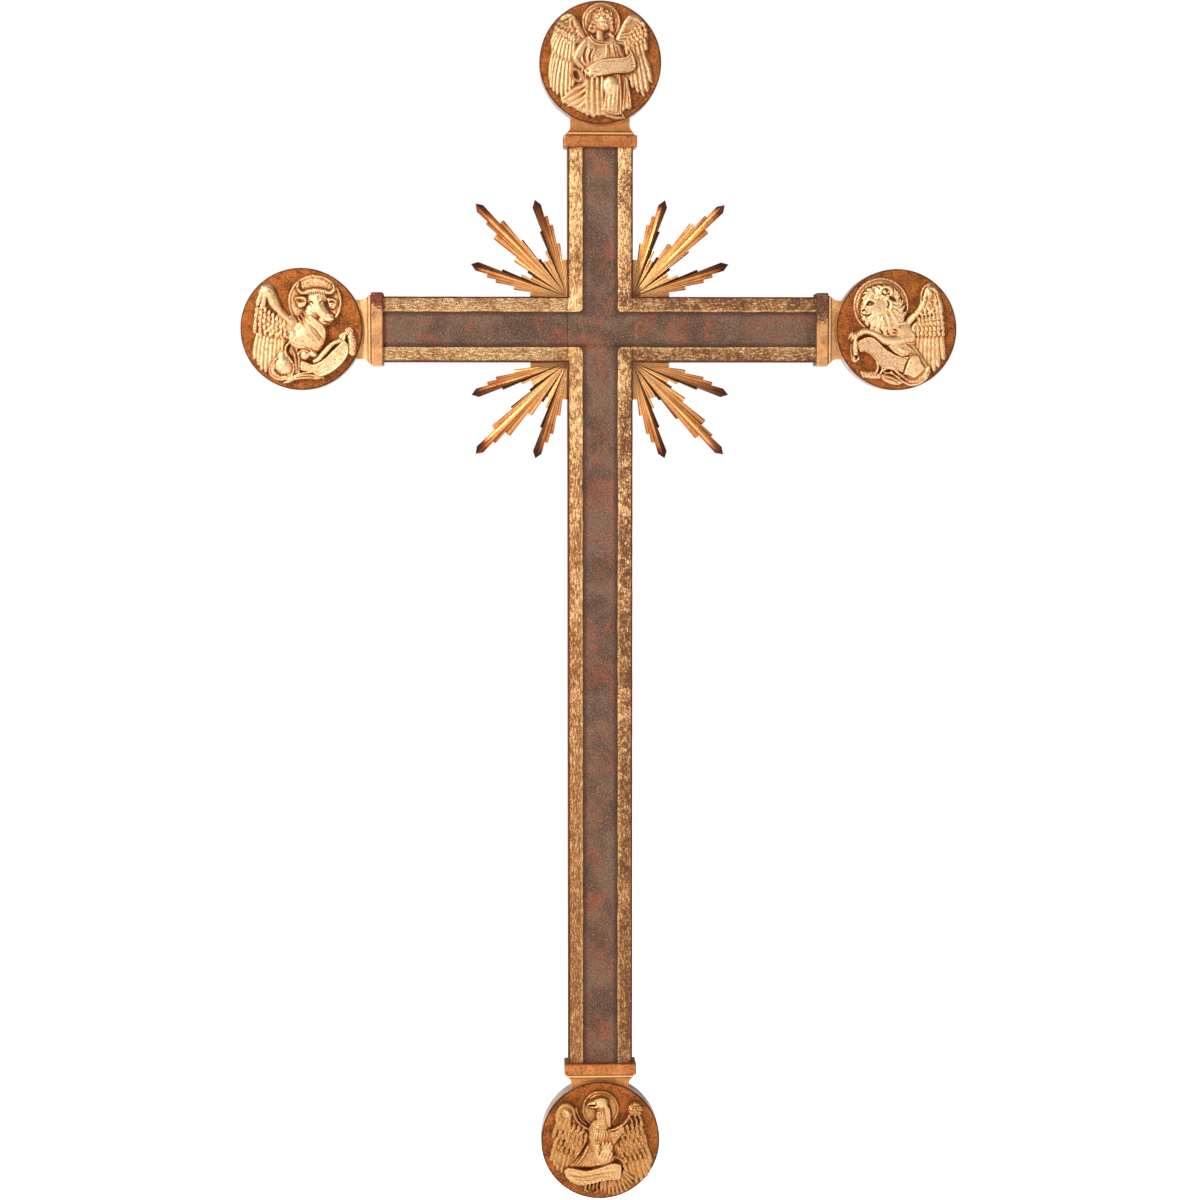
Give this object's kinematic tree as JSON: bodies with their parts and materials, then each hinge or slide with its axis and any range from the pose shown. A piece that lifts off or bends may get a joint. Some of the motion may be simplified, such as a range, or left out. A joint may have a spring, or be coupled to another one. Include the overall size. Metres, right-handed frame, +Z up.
{
  "type": "altar cross",
  "caption": "Tall gilded wooden wall cross with round end medallions carved with the evangelists' symbols, moulded caps and ray fans at the crossing.",
  "frame": {"origin": "centre of the hanger's round entry hole, in the plane of the cross's back", "axes": "+Z up, +X to the right seen from the front, +Y out of the back towards the wall"},
  "size_m": [0.592, 0.03, 1],
  "materials": {
    "beam_gilding": "brown painted band between borders of worn leaf gold",
    "cap_gilding": "bronze gold over red bole, rubbed at the edges",
    "medallion_bronze": "mottled bronze brown, pale ground on the rim",
    "relief_gilding": "bright gold with brown patina in the hollows",
    "ray_gilding": "gold at the root, darkening to copper brown tips",
    "beech_dowel": "raw beech",
    "hanger_brass": "dull stamped brass",
    "steel": "zinc plated"
  },
  "bodies": {
    "root": {"upright_beam": "beam_gilding", "cross_beam": "beam_gilding", "cap_top": "cap_gilding", "cap_dowels_top": "beech_dowel", "medallion_top": "medallion_bronze", "medallion_dowel_top": "beech_dowel", "relief_angel": "relief_gilding", "cap_left": "cap_gilding", "cap_dowels_left": "beech_dowel", "medallion_left": "medallion_bronze", "medallion_dowel_left": "beech_dowel", "relief_ox": "relief_gilding", "cap_right": "cap_gilding", "cap_dowels_right": "beech_dowel", "medallion_right": "medallion_bronze", "medallion_dowel_right": "beech_dowel", "relief_lion": "relief_gilding", "cap_bottom": "cap_gilding", "cap_dowels_bottom": "beech_dowel", "medallion_bottom": "medallion_bronze", "medallion_dowel_bottom": "beech_dowel", "relief_eagle": "relief_gilding", "rays_upper_left": "ray_gilding", "rays_upper_right": "ray_gilding", "rays_lower_right": "ray_gilding", "rays_lower_left": "ray_gilding", "ray_pins": "steel", "lap_screws": "steel", "hanger_plate": "hanger_brass", "hanger_screws": "steel"}
  },
  "joints": []
}
